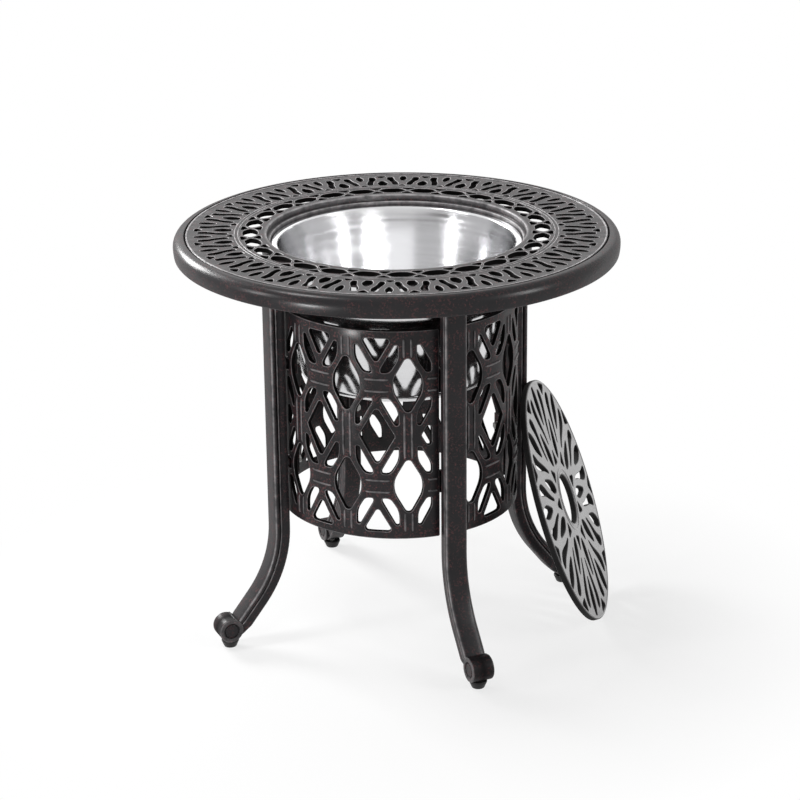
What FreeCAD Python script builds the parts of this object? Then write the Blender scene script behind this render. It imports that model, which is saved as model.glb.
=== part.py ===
import FreeCAD, Part
import math
import os
from FreeCAD import Vector

# Round cast-aluminium side table with a sunken ice bucket, pierced top and skirt, and a loose pierced lid.
# Millimetres, +Z up, origin on the floor under the centre of the table.

# Table top, from the bucket well outwards
top_height = 502.0           # floor to the crown of the rolled rim
well_radius = 143.5          # hole that the bucket hangs through
bucket_seat_width = 7.0      # ledge under the bucket's flange
lid_seat_width = 4.3         # ledge under the closed lid
shoulder_width = 6.4         # plain ring round the well
inner_band_width = 26.6      # pierced band of crossed waves
mid_ring_width = 6.4         # plain ring between the bands
outer_band_width = 49.0      # pierced band of loops
border_width = 9.9           # plain ring with the bead
rim_width = 13.4             # rolled rim
rim_crown = 0.8              # rise of the rim above the deck
rim_drop = 24.0              # crown to the lowest edge of the rim
rim_roll = 12.4              # radius of the rim's upper outer quarter
rim_tuck = 0.8               # how far the rim's lowest edge is tucked in
rim_wall = 4.5
deck_thickness = 6.0
well_depth = 22.0            # deck to the underside of the well
lid_seat_depth = 7.5         # deck to the lid's ledge
bucket_seat_depth = 13.5     # deck to the bucket's ledge
shoulder_round = 3.5
bead_inset = 6.8             # outer band to the middle of the bead
bead_radius = 1.2
groove_radius = 0.9
outer_motifs = 26            # repeats round the outer band
outer_phase = 12.4           # degrees from +X to one leaf of the outer band
inner_motifs = 28            # repeats round the inner band
inner_phase = 3.9            # degrees from +X to one crossing of the inner band
corner_round = 1.6           # sharp corners of the pierced openings
shallow_turn = 60.0          # degrees; corners that turn less are rounded as far as their sides allow
arc_room = 0.48              # share of a side that the rounding of one corner may take

# Legs
leg_angles = {"front_left": 225.0, "front_right": 315.0, "rear_right": 45.0, "rear_left": 135.0}
leg_face_radius = 169.8      # table axis to the leg's outer face
leg_depth = 20.3             # outer face to back
leg_width = 27.6
slab_depth = 6.0             # thickness of the wide outer slab
body_width = 24.4            # narrower body behind the slab
leg_edge_round = 2.0
bend_height = 148.0          # where the straight leg begins to sweep out
bend_radius = 135.0          # of the outer face
bend_angle = 38.4
scroll_radius = 15.0
scroll_reach = 230.0         # table axis to the scroll's centre
scroll_height = 25.0
heel_length = 20.0           # how far before the scroll the heel begins to curve
flange_thickness = 8.0
flange_width = 68.0
flange_inset = 1.0           # well wall to the flange's inner end
flange_bolt_spread = 48.0    # distance between a leg's two bolts
boss_radius = 7.0

# Skirt
skirt_gap = 4.2              # leg back to the skirt's outer face
skirt_thickness = 5.0
skirt_bottom = 163.1
skirt_height = 260.4
skirt_turn = -3.24           # degrees that the panels are turned against the legs
seam_width = 4.8
cell_half_width = 37.0       # half a lattice repeat along the arc
cell_half_height = 63.1
edge_border = 10.2           # solid strip at each upright edge
rail_border = 10.0           # solid strip at the top and bottom
tall_half_width = 16.9       # tall diamond, before its corners are rounded
tall_half_height = 37.2
tall_flat = 8.0              # half the upright flat at a tall diamond's side
tall_round = 4.7
wide_half_width = 21.1       # wide diamond, before its corners are rounded
wide_half_height = 36.0
wide_round = 3.2
upright_half_width = 11.3    # solid between two slots beside a tall diamond
level_half_width = 15.8      # solid between two slots above and below a wide diamond
slot_inner = 5.6             # upper end of a slot, from the column's middle
slot_outer = 15.0
slot_toe = 22.0              # lower end of a slot's inner side, from the column's middle
slot_low = 14.0              # lower end of a slot, from the row's middle
slot_bend = 31.0             # where a slot's outer side turns upright
slot_rise = 43.0             # upper end of a slot's inner side
slot_round = 2.4
least_opening = 70.0         # area under which a cut-off opening stays solid
tongue_thickness = 5.4
tongue_height = 28.0
tongue_margin = 8.0          # tongue beyond the screw's centre

# Ice bucket
bucket_wall = 1.0
bucket_height = 164.5        # flange to the outside of the floor
bucket_floor_radius = 118.0
bucket_corner = 14.0
bucket_flange_margin = 0.9   # flange edge to the wall of the recess

# Lid
lid_thickness = 7.0
lid_rim_width = 3.6
lid_hole_radius = 31.0
lid_petals = 9
lid_lean = 19.3              # degrees from upright
lid_heading = 11.7           # degrees from +X that the lid's outer face looks
lid_shift = 36.2             # lid's centre to the leg it leans on, along the lid
lid_phase = 4.4              # degrees from the level direction to the middle of one petal

# Fasteners and feet
leg_bolt_radius = 3.0
leg_bolt_head_flats = 10.0
leg_bolt_head_height = 4.0
leg_washer_radius = 6.2
leg_washer_thickness = 1.6
leg_bolt_grip = 8.5          # length of the bolt in the table top
skirt_bolt_radius = 2.5
skirt_bolt_head_flats = 8.0
skirt_bolt_head_height = 3.5
skirt_washer_radius = 5.0
skirt_washer_thickness = 1.0
skirt_bolt_grip = 8.0        # depth of the threaded hole in the leg
pad_height = 9.6
pad_foot_radius = 7.5
pad_top_radius = 10.75
pad_lip = 2.0
pad_socket_depth = 5.5
stud_radius = 4.0
stud_length = 20.0
stud_reach = 228.0           # table axis to the levelling stud

# Clearances
bolt_clearance = 0.3
thread_clearance = 0.1
stud_clearance = 0.08
socket_clearance = 0.05
curved_clearance = 0.3
washer_clearance = 0.05      # washer's rim to the curved tongue
blind_margin = 1.0           # hole depth beyond a bolt's or stud's end
overlap = 1.0                # depth to which the lumps of one casting run into each other
overrun = 3.0                # length of a cut beyond the metal on either side
touch = 0.01                 # distance within which an edge counts as lying on a face
lid_clearance = 1.0
bucket_clearance = 1.1

# Worked-out sizes
deck = top_height - rim_crown
bucket_seat_radius = well_radius + bucket_seat_width
recess_radius = bucket_seat_radius + lid_seat_width
shoulder_radius = recess_radius + shoulder_width
mid_inner_radius = shoulder_radius + inner_band_width
mid_outer_radius = mid_inner_radius + mid_ring_width
band_radius = mid_outer_radius + outer_band_width
border_radius = band_radius + border_width
table_radius = border_radius + rim_width
well_underside = deck - well_depth
leg_back_radius = leg_face_radius - leg_depth
skirt_radius = leg_back_radius - skirt_gap
skirt_inner_radius = skirt_radius - skirt_thickness
skirt_middle = skirt_bottom + skirt_height / 2.0
skirt_half_arc = math.pi / 4.0 * skirt_radius - seam_width / 2.0
screw_heights = (skirt_middle - cell_half_height, skirt_middle + cell_half_height)
tongue_radius = skirt_inner_radius - curved_clearance - tongue_thickness
lid_radius = recess_radius - lid_clearance
bucket_rim_radius = well_radius - bucket_clearance
bend_turn = math.radians(bend_angle)
down_leg = Vector(math.sin(bend_turn), 0, -math.cos(bend_turn))
into_leg = Vector(-math.cos(bend_turn), 0, -math.sin(bend_turn))
scroll_centre = Vector(scroll_reach, 0, scroll_height)

os.makedirs("parts", exist_ok=True)
up = Vector(0, 0, 1)
centre_line = Vector(0, 0, 0)
arc_inset = 1.0 - math.sqrt(0.5)     # middle of a quarter arc, from the corner's sides


def polar(radius, degrees, z=0.0):
    turn = math.radians(degrees)
    return Vector(radius * math.cos(turn), radius * math.sin(turn), z)


def turned(shape, degrees):
    copy = shape.copy()
    copy.rotate(centre_line, up, degrees)
    return copy


def rounded_wire(corners, radius):
    """Closed outline through the corners, each rounded by an arc that its two sides leave room for."""
    count = len(corners)
    arcs = []
    for i, corner in enumerate(corners):
        before = corners[i - 1] - corner
        after = corners[(i + 1) % count] - corner
        half = before.getAngle(after) / 2.0
        reach = arc_room * min(before.Length, after.Length)
        if math.degrees(math.pi - 2.0 * half) > shallow_turn:
            reach = min(reach, radius / math.tan(half))
        before.normalize()
        after.normalize()
        to_centre = (before + after).normalize()
        bulge = reach / math.cos(half) - reach * math.tan(half)
        arcs.append((corner + before * reach, corner + to_centre * bulge, corner + after * reach))
    edges = []
    for i, (start, middle, end) in enumerate(arcs):
        edges.append(Part.Arc(start, middle, end).toShape())
        edges.append(Part.makeLine(end, arcs[(i + 1) % count][0]))
    return Part.Wire(edges)


def prism(wire, direction):
    return Part.Face(wire).extrude(direction)


def cylinder(radius, length, base, direction=up):
    return Part.makeCylinder(radius, length, base, direction)


def ring(outer, inner, length, base, direction=up):
    return cylinder(outer, length, base, direction).cut(cylinder(inner, length, base, direction))


def hexagon(flats, length, base, direction):
    """Hexagonal bar from base along direction."""
    circle_radius = flats / math.sqrt(3.0)
    bar = prism(Part.makePolygon([polar(circle_radius, 60 * i) for i in range(7)]), up * length)
    bar.Placement = FreeCAD.Placement(base, FreeCAD.Rotation(up, direction))
    return bar


def revolved(points):
    """Solid of revolution about Z; a pair of points stands for an arc through the first to the second."""
    edges = []
    last = Vector(points[0][0], 0, points[0][1])
    for point in points[1:] + points[:1]:
        if isinstance(point[0], tuple):
            (mid_r, mid_z), (end_r, end_z) = point
            end = Vector(end_r, 0, end_z)
            edges.append(Part.Arc(last, Vector(mid_r, 0, mid_z), end).toShape())
        else:
            end = Vector(point[0], 0, point[1])
            edges.append(Part.makeLine(last, end))
        last = end
    return Part.Face(Part.Wire(edges)).revolve(centre_line, up, 360)


def arc_middle(along, aside):
    """Middle of the arc that leaves a point in one direction and ends so far along it and aside."""
    radius = (along ** 2 + aside ** 2) / (2.0 * aside)
    half = math.asin(along / radius) / 2.0
    return radius * math.sin(half), radius * (1.0 - math.cos(half))


def level_face(solid, z):
    """Largest level face of a solid at a height."""
    level = [f for f in solid.Faces if max(abs(f.BoundBox.ZMin - z), abs(f.BoundBox.ZMax - z)) < touch]
    return max(level, key=lambda face: face.Area)


def pierced(solid, openings, low, high):
    """Solid with openings, drawn at the lower height, through its flat part between two heights."""
    under = level_face(solid, low)
    over = level_face(solid, high)
    faces = [face for face in solid.Faces if not face.isSame(under) and not face.isSame(over)]
    for wire in openings:
        faces += wire.extrude(up * (high - low)).Faces
    under.cutHoles(openings)
    over.cutHoles([wire.translated(up * (high - low)).reversed() for wire in openings])
    shell = Part.makeShell(faces + [under, over])
    shell.sewShape()
    return Part.makeSolid(shell)


def motif_wires(motif, count, phase, inner, outer, z):
    """One motif's openings round a band; a corner is (share of the repeat, share of the band's width).

    All outlines run anticlockwise seen from above.
    """
    pitch = 360.0 / count
    wires = []
    for i in range(count):
        for opening in motif:
            corners = [polar(inner + v * (outer - inner), phase + (i + u) * pitch, z) for u, v in opening]
            if sum(a.cross(b).z for a, b in zip(corners, corners[1:] + corners[:1])) < 0.0:
                corners.reverse()
            wires.append(rounded_wire(corners, corner_round))
    return wires


def mirrored(opening):
    return [(-u, v) for u, v in reversed(opening)]


# Openings of the outer band: two small triangles, a leaf, a drop and a pair of curved slots
curved_slot = [(0.235, 0.866), (0.222, 0.732), (0.203, 0.567), (0.157, 0.443), (0.122, 0.32),
               (0.118, 0.196), (0.14, 0.144), (0.22, 0.144), (0.255, 0.258), (0.265, 0.381),
               (0.302, 0.505), (0.35, 0.608), (0.365, 0.732), (0.345, 0.866)]
outer_motif = [
    [(-0.125, 0.031), (0.125, 0.031), (0, 0.175)],
    [(0.375, 0.969), (0.625, 0.969), (0.5, 0.784)],
    [(0, 0.495), (0.05, 0.608), (0.078, 0.773), (0.035, 0.948), (-0.035, 0.948), (-0.078, 0.773),
     (-0.05, 0.608)],
    [(0.5, 0.536), (0.585, 0.402), (0.625, 0.268), (0.57, 0.072), (0.43, 0.072), (0.375, 0.268),
     (0.415, 0.402)],
    curved_slot,
    mirrored(curved_slot),
]

# Openings of the inner band: a triangle above and below each crossing and a lens between two crossings
inner_motif = [
    [(0.075, 0.50), (0.26, 0.17), (0.74, 0.17), (0.925, 0.50), (0.74, 0.83), (0.26, 0.83)],
    [(-0.235, 0.95), (0.235, 0.95), (0.0, 0.64)],
    [(-0.235, 0.05), (0.235, 0.05), (0.0, 0.36)],
]

# Openings of the lid, as shares of one petal's sweep and of the pierced field's radius
tear_slot = [(0.16, 0.506), (0.155, 0.546), (0.18, 0.632), (0.222, 0.732), (0.24, 0.799),
             (0.232, 0.866), (0.224, 0.912), (0.25, 0.939), (0.33, 0.932), (0.38, 0.879),
             (0.385, 0.826), (0.345, 0.732), (0.28, 0.652), (0.235, 0.586), (0.195, 0.519)]
lid_motif = [
    [(0, 0.639), (0.06, 0.732), (0.095, 0.826), (0.08, 0.912), (0.035, 0.985), (-0.035, 0.985),
     (-0.08, 0.912), (-0.095, 0.826), (-0.06, 0.732)],
    tear_slot,
    mirrored(tear_slot),
    [(0.37, 0.995), (0.63, 0.995), (0.5, 0.899)],
    [(0.5, 0.712), (0.575, 0.599), (0.65, 0.479), (0.65, 0.426), (0.6, 0.379), (0.5, 0.353),
     (0.4, 0.379), (0.35, 0.426), (0.35, 0.479), (0.425, 0.599)],
    [(0, 0.453), (0.11, 0.373), (0.23, 0.323), (-0.23, 0.323), (-0.11, 0.373)],
]


def make_table_top():
    """One casting: rolled rim, pierced deck and the stepped well that the bucket hangs in."""
    rim_foot = top_height - rim_drop
    lip_round = rim_wall / 2.0
    lip_height = rim_foot + lip_round
    lip_out = table_radius - rim_tuck
    lip_in = lip_out - rim_wall
    crown_radius = table_radius - rim_roll
    roll_height = top_height - rim_roll
    rise_along, rise_aside = arc_middle(crown_radius - border_radius, rim_crown)
    tuck_along, tuck_aside = arc_middle(roll_height - lip_height, rim_tuck)
    bead = band_radius + bead_inset
    groove = border_radius - groove_radius
    under_deck = deck - deck_thickness
    blank = revolved([
        (well_radius, deck - bucket_seat_depth),
        (bucket_seat_radius, deck - bucket_seat_depth),
        (bucket_seat_radius, deck - lid_seat_depth),
        (recess_radius, deck - lid_seat_depth),
        (recess_radius, deck - shoulder_round),
        ((recess_radius + arc_inset * shoulder_round, deck - arc_inset * shoulder_round),
         (recess_radius + shoulder_round, deck)),
        (bead - bead_radius, deck),
        ((bead, deck + bead_radius), (bead + bead_radius, deck)),
        (groove - groove_radius, deck),
        ((groove, deck - groove_radius), (groove + groove_radius, deck)),
        ((crown_radius - rise_along, top_height - rise_aside), (crown_radius, top_height)),
        ((table_radius - arc_inset * rim_roll, top_height - arc_inset * rim_roll),
         (table_radius, roll_height)),
        ((table_radius - tuck_aside, roll_height - tuck_along), (lip_out, lip_height)),
        ((lip_out - lip_round, rim_foot), (lip_in, lip_height)),
        (lip_in, under_deck - rim_wall),
        ((lip_in - arc_inset * rim_wall, under_deck - arc_inset * rim_wall),
         (lip_in - rim_wall, under_deck)),
        (shoulder_radius, under_deck),
        (shoulder_radius, well_underside),
        (well_radius, well_underside),
    ])
    outer_room = (mid_outer_radius, band_radius, under_deck)
    inner_room = (shoulder_radius, mid_inner_radius, under_deck)
    openings = motif_wires(outer_motif, outer_motifs, outer_phase, *outer_room)
    openings += motif_wires(inner_motif, inner_motifs, inner_phase, *inner_room)
    thread = leg_bolt_radius + thread_clearance
    threads = [cylinder(thread, leg_bolt_grip + blind_margin, place + up * well_underside)
               for angle in leg_angles.values() for place in leg_bolt_places(angle)]
    return pierced(blank.cut(threads), openings, under_deck, deck)


def leg_bolt_places(angle):
    """Plan positions of a leg's two bolts, under the thick ring outside the bucket's ledge."""
    bolt_circle = (bucket_seat_radius + shoulder_radius) / 2.0
    swing = math.degrees(math.asin(flange_bolt_spread / 2.0 / bolt_circle))
    return [polar(bolt_circle, angle + side * swing) for side in (-1, 1)]


def leg_strip(from_depth, to_depth, width):
    """Part of the leg between two depths behind its outer face, in the leg's own radial plane."""
    bend_centre = Vector(leg_face_radius + bend_radius, 0, bend_height)
    top = well_underside - flange_thickness / 2.0
    foot_run = (scroll_centre - bend_centre).dot(down_leg)

    def bend_point(depth, share):
        turn = bend_turn * share
        return bend_centre + Vector(-math.cos(turn), 0, -math.sin(turn)) * (bend_radius + depth)

    def side(depth, run):
        bent = bend_point(depth, 1.0)
        return [
            Part.makeLine(Vector(leg_face_radius - depth, 0, top), bend_point(depth, 0.0)),
            Part.Arc(bend_point(depth, 0.0), bend_point(depth, 0.5), bent).toShape(),
            Part.makeLine(bent, bent + down_leg * run),
        ]

    front = side(from_depth, foot_run)
    back = side(to_depth, foot_run - heel_length)
    front_end = front[-1].lastVertex().Point
    heel = back[-1].lastVertex().Point
    closing = heel_edges(heel, front_end) if to_depth >= leg_depth else [Part.makeLine(heel, front_end)]
    cap = Part.makeLine(back[0].firstVertex().Point, front[0].firstVertex().Point)
    outline = Part.Wire(Part.__sortEdges__(front + closing + back + [cap]))
    outline.translate(Vector(0, -width / 2.0, 0))
    return prism(outline, Vector(0, width, 0))


def heel_edges(heel, front_end):
    """Arc from the leg's back into the underside of the scroll, then lines back to the outer face."""
    offset = scroll_centre - heel
    along = offset.dot(down_leg)
    across = -offset.dot(into_leg)
    radius = (along ** 2 + across ** 2 - scroll_radius ** 2) / (2.0 * (across - scroll_radius))
    arc_centre = heel - into_leg * radius
    touch = scroll_centre + (scroll_centre - arc_centre).normalize() * scroll_radius
    halfway = ((heel + touch) / 2.0 - arc_centre).normalize() * radius + arc_centre
    return [
        Part.Arc(heel, halfway, touch).toShape(),
        Part.makeLine(touch, scroll_centre),
        Part.makeLine(scroll_centre, front_end),
    ]


def make_leg(angle):
    """Cast leg with its scroll foot, top flange and the two bosses that carry the skirt."""
    slab = leg_strip(0.0, slab_depth, leg_width)
    long_edges = [e for e in slab.Edges if on_outer_face(e)]
    slab = slab.makeFillet(leg_edge_round, long_edges)
    body = leg_strip(slab_depth / 2.0, leg_depth, body_width)
    scroll_side = scroll_centre - Vector(0, leg_width / 2.0, 0)
    scroll = cylinder(scroll_radius, leg_width, scroll_side, Vector(0, 1, 0))
    flange_base = well_underside - flange_thickness
    flange_start = well_radius + flange_inset
    flange = Part.makeBox(leg_face_radius - flange_start, flange_width, flange_thickness,
                          Vector(flange_start, -flange_width / 2.0, flange_base))
    boss_start = skirt_radius + curved_clearance
    boss_length = leg_back_radius - boss_start
    outward = Vector(1, 0, 0)
    boss_places = [Vector(boss_start, 0, z) for z in screw_heights]
    bosses = [cylinder(boss_radius, boss_length + overlap, place, outward) for place in boss_places]
    leg = slab.fuse([body, scroll, flange] + bosses)
    thread = skirt_bolt_radius + thread_clearance
    cuts = [cylinder(thread, boss_length + skirt_bolt_grip, place, outward) for place in boss_places]
    cuts += [cylinder(leg_bolt_radius + bolt_clearance, flange_thickness, place + up * flange_base)
             for place in leg_bolt_places(0.0)]
    stud_hole = stud_radius + stud_clearance
    cuts.append(cylinder(stud_hole, stud_top() + blind_margin, Vector(stud_reach, 0, 0)))
    return turned(leg.cut(cuts).removeSplitter(), angle)


def on_outer_face(edge):
    """True for the long edges where the slab's outer face meets its sides."""
    ends = [v.Point for v in edge.Vertexes]
    if abs(ends[0].y - ends[1].y) > touch:
        return False
    middle = edge.valueAt((edge.FirstParameter + edge.LastParameter) / 2.0)
    bend_centre = Vector(leg_face_radius + bend_radius, middle.y, bend_height)
    if middle.z > bend_height:
        return abs(middle.x - leg_face_radius) < touch
    if (middle - bend_centre).dot(down_leg) < 0:
        return abs((middle - bend_centre).Length - bend_radius) < touch
    return abs((middle - bend_centre).dot(into_leg) - bend_radius) < touch


def stud_top():
    return pad_height - pad_socket_depth + stud_length


def clipped(polygon, low, high, axis):
    """Polygon cut to low..high along one axis (0 along the arc, 1 upwards)."""
    for limit, sign in ((low, 1.0), (high, -1.0)):
        kept = []
        for i, point in enumerate(polygon):
            last = polygon[i - 1]
            inside = sign * (point[axis] - limit) >= 0
            last_inside = sign * (last[axis] - limit) >= 0
            if inside != last_inside:
                share = (limit - last[axis]) / (point[axis] - last[axis])
                kept.append(tuple(a + share * (b - a) for a, b in zip(last, point)))
            if inside:
                kept.append(point)
        polygon = kept
    return polygon


def lattice_openings():
    """Skirt openings as polygons of (arc length, height) from the panel's middle, with their rounding."""
    tall = [(0, tall_half_height), (tall_half_width, tall_flat), (tall_half_width, -tall_flat),
            (0, -tall_half_height), (-tall_half_width, -tall_flat), (-tall_half_width, tall_flat)]
    wide = [(0, wide_half_height), (wide_half_width, 0), (0, -wide_half_height), (-wide_half_width, 0)]
    slot_side = cell_half_width - upright_half_width
    slot_top = cell_half_height - level_half_width
    slot = [(slot_inner, slot_top), (slot_outer, slot_top), (slot_side, slot_bend), (slot_side, slot_low),
            (slot_toe, slot_low), (slot_inner, slot_rise)]
    flips = [(1, 1), (-1, 1), (1, -1), (-1, -1)]
    slots = [([(sx * x, sz * z) for x, z in slot], slot_round) for sx, sz in flips]
    openings = []
    for column in (-3, -2, -1, 0, 1, 2, 3):
        for row in (-2, -1, 0, 1, 2):
            if (column + row) % 2 == 0:
                continue
            shapes = [(tall, tall_round)] if column % 2 == 0 else [(wide, wide_round)] + slots
            middle_x = column * cell_half_width
            middle_z = row * cell_half_height
            for shape, rounding in shapes:
                openings.append(([(x + middle_x, z + middle_z) for x, z in shape], rounding))
    arc_limit = skirt_half_arc - edge_border
    height_limit = skirt_height / 2.0 - rail_border
    kept = []
    for opening, rounding in openings:
        opening = clipped(clipped(opening, -arc_limit, arc_limit, 0), -height_limit, height_limit, 1)
        if len(opening) > 2 and polygon_area(opening) > least_opening:
            kept.append((opening, rounding))
    return kept


def polygon_area(points):
    return abs(sum(a[0] * b[1] - b[0] * a[1] for a, b in zip(points, points[1:] + points[:1]))) / 2.0


def sector(inner, outer, start, end, low, high):
    """Curved plate between two radii, two angles and two heights."""
    corners = Part.makePolygon([Vector(inner, 0, low), Vector(outer, 0, low), Vector(outer, 0, high),
                                Vector(inner, 0, high), Vector(inner, 0, low)])
    return turned(Part.Face(corners).revolve(centre_line, up, end - start), start)


def make_skirt_panel():
    """Pierced curved panel facing +X, with two tongues that tuck behind the next panel."""
    half = math.degrees(skirt_half_arc / skirt_radius)
    plate = sector(skirt_inner_radius, skirt_radius, -half, half,
                   skirt_bottom, skirt_bottom + skirt_height)
    cuts = []
    for opening, rounding in lattice_openings():
        arc = sum(p[0] for p in opening) / len(opening)
        corners = [Vector(skirt_inner_radius - overrun, x - arc, skirt_middle + z) for x, z in opening]
        depth = skirt_thickness + 2.0 * overrun
        hole = prism(rounded_wire(corners, rounding), Vector(depth, 0, 0))
        cuts.append(turned(hole, math.degrees(arc / skirt_radius)))
    plate = plate.cut(cuts)
    next_leg = leg_angles["rear_right"] - skirt_turn
    own_leg = leg_angles["front_right"] - skirt_turn
    tongue_end = next_leg + math.degrees(tongue_margin / skirt_radius)
    root_start = half - math.degrees(edge_border / skirt_radius)
    pieces = []
    for z in screw_heights:
        low, high = z - tongue_height / 2.0, z + tongue_height / 2.0
        lap = sector(tongue_radius, tongue_radius + tongue_thickness, root_start, tongue_end, low, high)
        root = sector(tongue_radius, skirt_inner_radius + overlap, root_start, half, low, high)
        pieces += [lap, root]
    panel = plate.fuse(pieces)
    hole = skirt_bolt_radius + bolt_clearance
    depth = skirt_radius - tongue_radius + 2.0 * overrun
    drills = []
    for z in screw_heights:
        drill = cylinder(hole, depth, Vector(tongue_radius - overrun, 0, z), Vector(1, 0, 0))
        drills += [turned(drill, own_leg), turned(drill, next_leg)]
    return panel.cut(drills).removeSplitter()


def make_bucket():
    """Spun bucket with a flat flange that rests on the lower ledge of the well."""
    seat = deck - bucket_seat_depth
    floor = seat - bucket_height
    flange = bucket_seat_radius - bucket_flange_margin
    wall_turn = math.atan2(bucket_rim_radius - bucket_floor_radius, bucket_height)
    corner_z = floor + bucket_corner
    corner_r = bucket_floor_radius - bucket_corner
    side = Vector(math.cos(wall_turn), 0, -math.sin(wall_turn))
    middle = Vector(math.cos(wall_turn - math.pi / 4), 0, math.sin(wall_turn - math.pi / 4))

    def corner(radius):
        low = (corner_r, corner_z - radius)
        bend = (corner_r + radius * middle.x, corner_z + radius * middle.z)
        wall = (corner_r + radius * side.x, corner_z + radius * side.z)
        return low, bend, wall

    inner = corner(bucket_corner - bucket_wall)
    outer = corner(bucket_corner)
    return revolved([
        (0, floor),
        outer[0],
        (outer[1], outer[2]),
        (bucket_rim_radius, seat),
        (flange, seat),
        (flange, seat + bucket_wall),
        (bucket_rim_radius - bucket_wall, seat + bucket_wall),
        inner[2],
        (inner[1], inner[0]),
        (0, floor + bucket_wall),
    ])


def lid_frame():
    """Placement of the lid: foot on the floor, upper edge against the rear right leg."""
    lean = math.radians(lid_lean)
    heading = math.radians(lid_heading)
    normal = Vector(math.cos(lean) * math.cos(heading), math.cos(lean) * math.sin(heading), math.sin(lean))
    ahead = Vector(math.cos(heading), math.sin(heading), 0)
    along = Vector(-math.sin(heading), math.cos(heading), 0)
    corner = Vector(leg_face_radius - leg_edge_round, -leg_width / 2.0 + leg_edge_round, 0)
    corner = FreeCAD.Rotation(up, leg_angles["rear_right"]).multVec(corner)
    upper = math.sqrt(lid_radius ** 2 - lid_shift ** 2)
    contact = corner + up * ((lid_radius + upper) * math.cos(lean))
    plane = normal.dot(contact) + leg_edge_round * math.cos(lean) + curved_clearance
    height = lid_radius * math.cos(lean)
    centre = ahead * ((plane - height * math.sin(lean)) / math.cos(lean))
    centre += along * (corner.dot(along) - lid_shift) + up * height
    return centre, along, normal


def make_lid():
    """Pierced disc with a finger hole, standing on the floor and leaning on a leg."""
    openings = motif_wires(lid_motif, lid_petals, lid_phase, 0.0, lid_radius - lid_rim_width, 0.0)
    blank = ring(lid_radius, lid_hole_radius, lid_thickness, centre_line)
    disc = pierced(blank, openings, 0.0, lid_thickness)
    centre, along, normal = lid_frame()
    turn = FreeCAD.Rotation(along, normal.cross(along), normal, "ZXY")
    disc.Placement = FreeCAD.Placement(centre, turn)
    return disc


def make_leg_fasteners():
    """Bolts from below through each leg's flange into the table top, with their washers."""
    flange_base = well_underside - flange_thickness
    washer_base = flange_base - leg_washer_thickness
    length = leg_washer_thickness + flange_thickness + leg_bolt_grip
    washer_hole = leg_bolt_radius + bolt_clearance
    bolts = []
    washers = []
    for angle in leg_angles.values():
        for place in leg_bolt_places(angle):
            seat = place + up * washer_base
            head = hexagon(leg_bolt_head_flats, leg_bolt_head_height, seat, up * -1)
            bolts.append(head.fuse(cylinder(leg_bolt_radius, length, seat)))
            washers.append(ring(leg_washer_radius, washer_hole, leg_washer_thickness, seat))
    return Part.makeCompound(bolts), Part.makeCompound(washers)


def make_skirt_fasteners():
    """Bolts from inside through tongue and panel into each leg's bosses, with their washers."""
    outward = Vector(1, 0, 0)
    chord_drop = tongue_radius - math.sqrt(tongue_radius ** 2 - skirt_washer_radius ** 2)
    washer_face = tongue_radius - chord_drop - washer_clearance
    head_face = washer_face - skirt_washer_thickness
    length = leg_back_radius + skirt_bolt_grip - blind_margin - head_face
    washer_hole = skirt_bolt_radius + bolt_clearance
    bolts = []
    washers = []
    for angle in leg_angles.values():
        for z in screw_heights:
            seat = Vector(head_face, 0, z)
            head = hexagon(skirt_bolt_head_flats, skirt_bolt_head_height, seat, outward * -1)
            bolts.append(turned(head.fuse(cylinder(skirt_bolt_radius, length, seat, outward)), angle))
            washer = ring(skirt_washer_radius, washer_hole, skirt_washer_thickness, seat, outward)
            washers.append(turned(washer, angle))
    return Part.makeCompound(bolts), Part.makeCompound(washers)


def make_foot(angle):
    """Levelling foot: a tapered pad with a blind socket, and the threaded stud that stands in it."""
    place = polar(stud_reach, angle)
    socket_floor = pad_height - pad_socket_depth
    socket = stud_radius + socket_clearance
    pad = revolved([
        (0, 0), (pad_foot_radius, 0), (pad_top_radius, pad_height - pad_lip), (pad_top_radius, pad_height),
        (socket, pad_height), (socket, socket_floor), (0, socket_floor),
    ])
    pad.translate(place)
    stud = cylinder(stud_radius, stud_length, place + up * socket_floor)
    return pad, stud


def main():
    nodes = {"table_top": make_table_top(), "ice_bucket": make_bucket(), "lid": make_lid()}
    panel = make_skirt_panel()
    for name, angle in (("front", 270.0), ("right", 0.0), ("back", 90.0), ("left", 180.0)):
        nodes["skirt_panel_" + name] = turned(panel, angle + skirt_turn)
    for name, angle in leg_angles.items():
        nodes["leg_" + name] = make_leg(angle)
        nodes["foot_pad_" + name], nodes["foot_stud_" + name] = make_foot(angle)
    nodes["leg_bolts"], nodes["leg_washers"] = make_leg_fasteners()
    nodes["skirt_bolts"], nodes["skirt_washers"] = make_skirt_fasteners()
    for name, shape in nodes.items():
        shape.exportStep("parts/" + name + ".step")
        print(name, len(shape.Solids), "solids", round(shape.Volume / 1000.0, 2), "cm3")


main()
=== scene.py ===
import math

import bmesh
import bpy
import numpy as np
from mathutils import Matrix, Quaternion, Vector
from mathutils.geometry import delaunay_2d_cdt


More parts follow.
